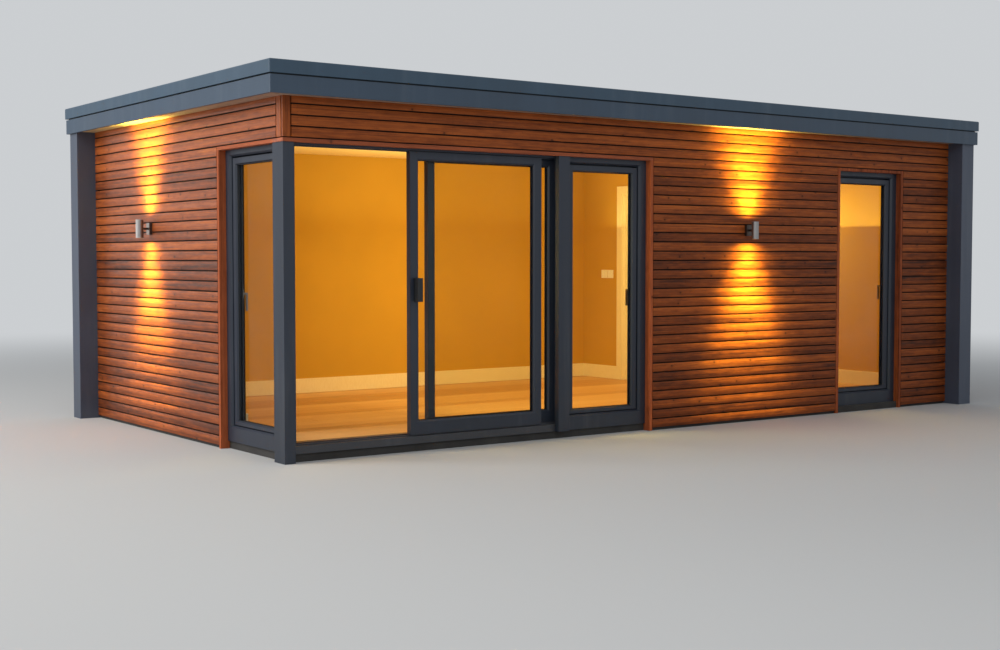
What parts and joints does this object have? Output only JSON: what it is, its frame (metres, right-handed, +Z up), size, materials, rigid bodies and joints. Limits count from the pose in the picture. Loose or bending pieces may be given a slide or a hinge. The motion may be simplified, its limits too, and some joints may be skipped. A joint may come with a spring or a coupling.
{
  "type": "garden office pod",
  "caption": "Flat-roofed timber-clad garden room with a glazed corner, a sliding glass door, tall windows, end fins and wall lamps.",
  "frame": {"origin": "ground level under the middle of the roof", "axes": "+X along the front towards the right end, +Y from the front to the back, +Z up"},
  "size_m": [7.42, 3.92, 2.678],
  "materials": {
    "timber_boards": "oiled, satin",
    "timber_lining": "oiled, satin",
    "wall_panel": "plain board",
    "anthracite": "powder coated, satin",
    "edge_trim": "coated sheet, satin",
    "roof_membrane": "matte",
    "plaster": "matte paint",
    "floor_boards": "lacquered",
    "floor_base": "rough",
    "white_joinery": "satin paint",
    "glass": "clear",
    "brushed_steel": "brushed",
    "handle_black": "powder coated, matte",
    "switch_plastic": "gloss"
  },
  "bodies": {
    "pod": {"front_cladding": "timber_boards", "left_cladding": "timber_boards", "back_cladding": "timber_boards", "right_cladding": "timber_boards", "corner_boards": "timber_boards", "front_head_lining": "timber_lining", "side_head_lining": "timber_lining", "jamb_linings": "timber_lining", "narrow_window_lining": "timber_lining", "front_wall_head": "wall_panel", "front_wall_middle": "wall_panel", "front_wall_right": "wall_panel", "left_wall_head": "wall_panel", "left_wall": "wall_panel", "back_wall": "wall_panel", "right_wall": "wall_panel", "partition_sides": "plaster", "partition_head": "plaster", "ceiling": "plaster", "corner_post": "anthracite", "mullion_cover": "anthracite", "end_fins": "anthracite", "back_right_corner_trim": "anthracite", "fascia": "anthracite", "roof_edge_trim": "edge_trim", "roof_deck": "roof_membrane", "soffit": "timber_lining", "floor_boards": "floor_boards", "floor_slab": "floor_base", "door_head": "anthracite", "door_threshold": "anthracite", "door_jambs": "anthracite", "fixed_sash": "anthracite", "fixed_glass": "glass", "window_frames": "anthracite", "window_sashes": "anthracite", "window_glass": "glass", "window_handles": "brushed_steel", "wall_lamps": "brushed_steel", "door_casing": "white_joinery", "skirting": "white_joinery", "light_switches": "switch_plastic"},
    "leaf": {"sliding_sash": "anthracite", "sliding_glass": "glass", "sliding_handle": "handle_black"}
  },
  "joints": [
    {"name": "leaf_slide", "type": "slide", "parent": "pod", "child": "leaf", "axis": [1, 0, 0], "range_m": [-0.922, 0.165]}
  ]
}
